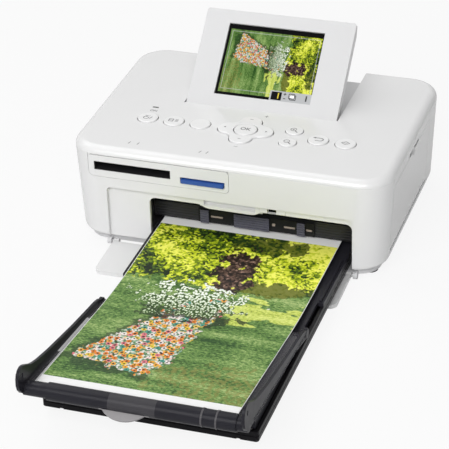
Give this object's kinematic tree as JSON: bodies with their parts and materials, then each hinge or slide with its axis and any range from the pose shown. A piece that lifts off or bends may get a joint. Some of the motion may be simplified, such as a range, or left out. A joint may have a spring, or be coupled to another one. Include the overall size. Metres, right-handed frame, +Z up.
{
  "type": "compact photo printer",
  "caption": "Compact dye-sublimation photo printer with a tilting screen, round push buttons, card slots, a drop-down front door and a paper cassette whose flap carries a finished print.",
  "frame": {"origin": "centre of the whole machine's footprint, cassette and flap included, on the table under its feet", "axes": "+X to the printer's right seen from its front, +Y from the front of the cassette towards the printer's back, +Z up"},
  "size_m": [0.178, 0.3064, 0.0988],
  "materials": {
    "white_gloss": "gloss",
    "white_satin": "satin",
    "smoke": "tinted gloss",
    "black_gloss": "gloss",
    "black_matte": "matte",
    "grey_rubber": "matte",
    "tan_rubber": "matte",
    "steel": "satin",
    "aluminium": "satin",
    "brass": "satin",
    "circuit_board": "satin",
    "screen_glass": "polished",
    "paper": "smooth",
    "print": "glossy print",
    "card_blue": "satin",
    "ribbon": "glossy film",
    "lamp": "translucent"
  },
  "bodies": {
    "housing": {"top_cover": "white_gloss", "front_panel": "white_gloss", "rear_shell": "white_gloss", "bottom_case": "white_satin", "rubber_feet": "grey_rubber", "case_screws": "steel", "cartridge_door_pins": "steel", "card_bezel": "white_gloss", "large_card_reader": "black_matte", "small_card_reader": "steel", "lcd_pins": "steel", "power_lamp": "lamp", "front_door_pins": "steel", "chassis": "steel", "output_guide": "black_matte", "thermal_head": "aluminium", "heat_sink": "aluminium", "feed_motor": "steel", "ribbon_case": "black_matte", "ribbon_film": "ribbon", "main_board": "circuit_board", "key_board": "circuit_board", "power_inlet": "black_matte", "usb_socket": "steel"},
    "screen": {"lcd_front": "white_gloss", "lcd_back": "white_gloss", "lcd_module": "black_matte", "lcd_window": "screen_glass"},
    "power_key": {"power_button": "white_gloss"},
    "menu_key": {"menu_button": "white_gloss"},
    "edit_key": {"edit_button": "white_gloss"},
    "zoom_in_key": {"zoom_in_button": "white_gloss"},
    "zoom_out_key": {"zoom_out_button": "white_gloss"},
    "back_key": {"back_button": "white_gloss"},
    "print_key": {"print_button": "white_gloss"},
    "ok_key": {"ok_button": "white_gloss"},
    "gimbal": {"nav_gimbal": "black_matte"},
    "pad": {"nav_pad": "white_gloss"},
    "door": {"front_door": "white_gloss"},
    "side_door": {"cartridge_door": "white_gloss"},
    "card": {"memory_card": "card_blue"},
    "cassette": {"cassette_base": "black_gloss", "lift_plate": "steel", "lift_spring": "steel", "paper_stack": "paper", "cassette_lid": "smoke", "flap_pins": "steel", "photo_print": "print"},
    "flap": {"flap_lid": "smoke"},
    "drive": {"drive_gear": "white_satin"},
    "pinion": {"motor_pinion": "brass"},
    "exit": {"exit_roller": "tan_rubber"},
    "capstan": {"capstan_roller": "steel"},
    "pickup": {"pickup_roller": "grey_rubber"},
    "pinch": {"pinch_roller": "grey_rubber"},
    "platen": {"platen_roller": "grey_rubber"},
    "supply": {"supply_spool": "ribbon"},
    "takeup": {"takeup_spool": "ribbon"}
  },
  "joints": [
    {"name": "lcd_tilt", "type": "hinge", "parent": "housing", "child": "screen", "pos_m": [0.0008, 0.09165, 0.0585], "axis": [1, 0, 0], "range_deg": [-42.3, 5]},
    {"name": "power_press", "type": "slide", "parent": "housing", "child": "power_key", "axis": [0, 0, -1], "range_m": [0, 0.0006], "stiffness_N_per_m": 400},
    {"name": "menu_press", "type": "slide", "parent": "housing", "child": "menu_key", "axis": [0, 0, -1], "range_m": [0, 0.0006], "stiffness_N_per_m": 400},
    {"name": "edit_press", "type": "slide", "parent": "housing", "child": "edit_key", "axis": [0, 0, -1], "range_m": [0, 0.0006], "stiffness_N_per_m": 400},
    {"name": "zoom_in_press", "type": "slide", "parent": "housing", "child": "zoom_in_key", "axis": [0, 0, -1], "range_m": [0, 0.0006], "stiffness_N_per_m": 400},
    {"name": "zoom_out_press", "type": "slide", "parent": "housing", "child": "zoom_out_key", "axis": [0, 0, -1], "range_m": [0, 0.0006], "stiffness_N_per_m": 400},
    {"name": "back_press", "type": "slide", "parent": "housing", "child": "back_key", "axis": [0, 0, -1], "range_m": [0, 0.0006], "stiffness_N_per_m": 400},
    {"name": "print_press", "type": "slide", "parent": "housing", "child": "print_key", "axis": [0, 0, -1], "range_m": [0, 0.0006], "stiffness_N_per_m": 400},
    {"name": "ok_press", "type": "slide", "parent": "housing", "child": "ok_key", "axis": [0, 0, -1], "range_m": [0, 0.0006], "stiffness_N_per_m": 400},
    {"name": "pad_tilt_front", "type": "hinge", "parent": "housing", "child": "gimbal", "pos_m": [0, 0.06565, 0.0562], "axis": [1, 0, 0], "range_deg": [-2.5, 2.5], "stiffness_Nm_per_rad": 0.05},
    {"name": "pad_tilt_side", "type": "hinge", "parent": "gimbal", "child": "pad", "pos_m": [0, 0.06565, 0.0562], "axis": [0, 1, 0], "range_deg": [-2.5, 2.5], "stiffness_Nm_per_rad": 0.05},
    {"name": "front_door_hinge", "type": "hinge", "parent": "housing", "child": "door", "pos_m": [0.002, 0.02865, 0.0025], "axis": [-1, 0, 0], "range_deg": [0, 3.2]},
    {"name": "side_door_hinge", "type": "hinge", "parent": "housing", "child": "side_door", "pos_m": [0.0852, 0.08365, 0.0124], "axis": [0, 1, 0], "range_deg": [0, 85]},
    {"name": "card_slide", "type": "slide", "parent": "housing", "child": "card", "axis": [0, -1, 0], "range_m": [0, 0.02]},
    {"name": "cassette_slide", "type": "slide", "parent": "housing", "child": "cassette", "axis": [0, -1, 0], "range_m": [0, 0.2]},
    {"name": "flap_hinge", "type": "hinge", "parent": "cassette", "child": "flap", "pos_m": [0.0123, -0.04885, 0.0144], "axis": [-1, 0, 0], "range_deg": [0, 100], "deforming": ["photo_print"]},
    {"name": "drive_spin", "type": "hinge", "parent": "housing", "child": "drive", "pos_m": [-0.056, 0.06332, 0.02944], "axis": [1, 0, 0], "continuous": true},
    {"name": "pinion_spin", "type": "hinge", "parent": "housing", "child": "pinion", "pos_m": [-0.056, 0.0796, 0.03962], "axis": [1, 0, 0], "continuous": true},
    {"name": "exit_spin", "type": "hinge", "parent": "housing", "child": "exit", "pos_m": [0, 0.04315, 0.0197], "axis": [1, 0, 0], "continuous": true},
    {"name": "capstan_spin", "type": "hinge", "parent": "housing", "child": "capstan", "pos_m": [0, 0.07465, 0.012], "axis": [1, 0, 0], "continuous": true},
    {"name": "pickup_spin", "type": "hinge", "parent": "housing", "child": "pickup", "pos_m": [0, 0.05502, 0.02449], "axis": [1, 0, 0], "continuous": true},
    {"name": "pinch_spin", "type": "hinge", "parent": "housing", "child": "pinch", "pos_m": [0, 0.07465, 0.0192], "axis": [1, 0, 0], "continuous": true},
    {"name": "platen_spin", "type": "hinge", "parent": "housing", "child": "platen", "pos_m": [0, 0.09265, 0.0099], "axis": [1, 0, 0], "continuous": true},
    {"name": "takeup_spin", "type": "hinge", "parent": "housing", "child": "takeup", "pos_m": [0, 0.11265, 0.032], "axis": [1, 0, 0], "continuous": true},
    {"name": "supply_spin", "type": "hinge", "parent": "housing", "child": "supply", "pos_m": [0, 0.07015, 0.0345], "axis": [1, 0, 0], "continuous": true}
  ],
  "couplings": [
    {"joint": "pinion_spin", "follows": "drive_spin", "ratio": -3},
    {"joint": "exit_spin", "follows": "drive_spin", "ratio": -1.8},
    {"joint": "capstan_spin", "follows": "drive_spin", "ratio": -2.25},
    {"joint": "pickup_spin", "follows": "drive_spin", "ratio": 3},
    {"joint": "supply_spin", "follows": "takeup_spin", "ratio": 0.66667}
  ]
}
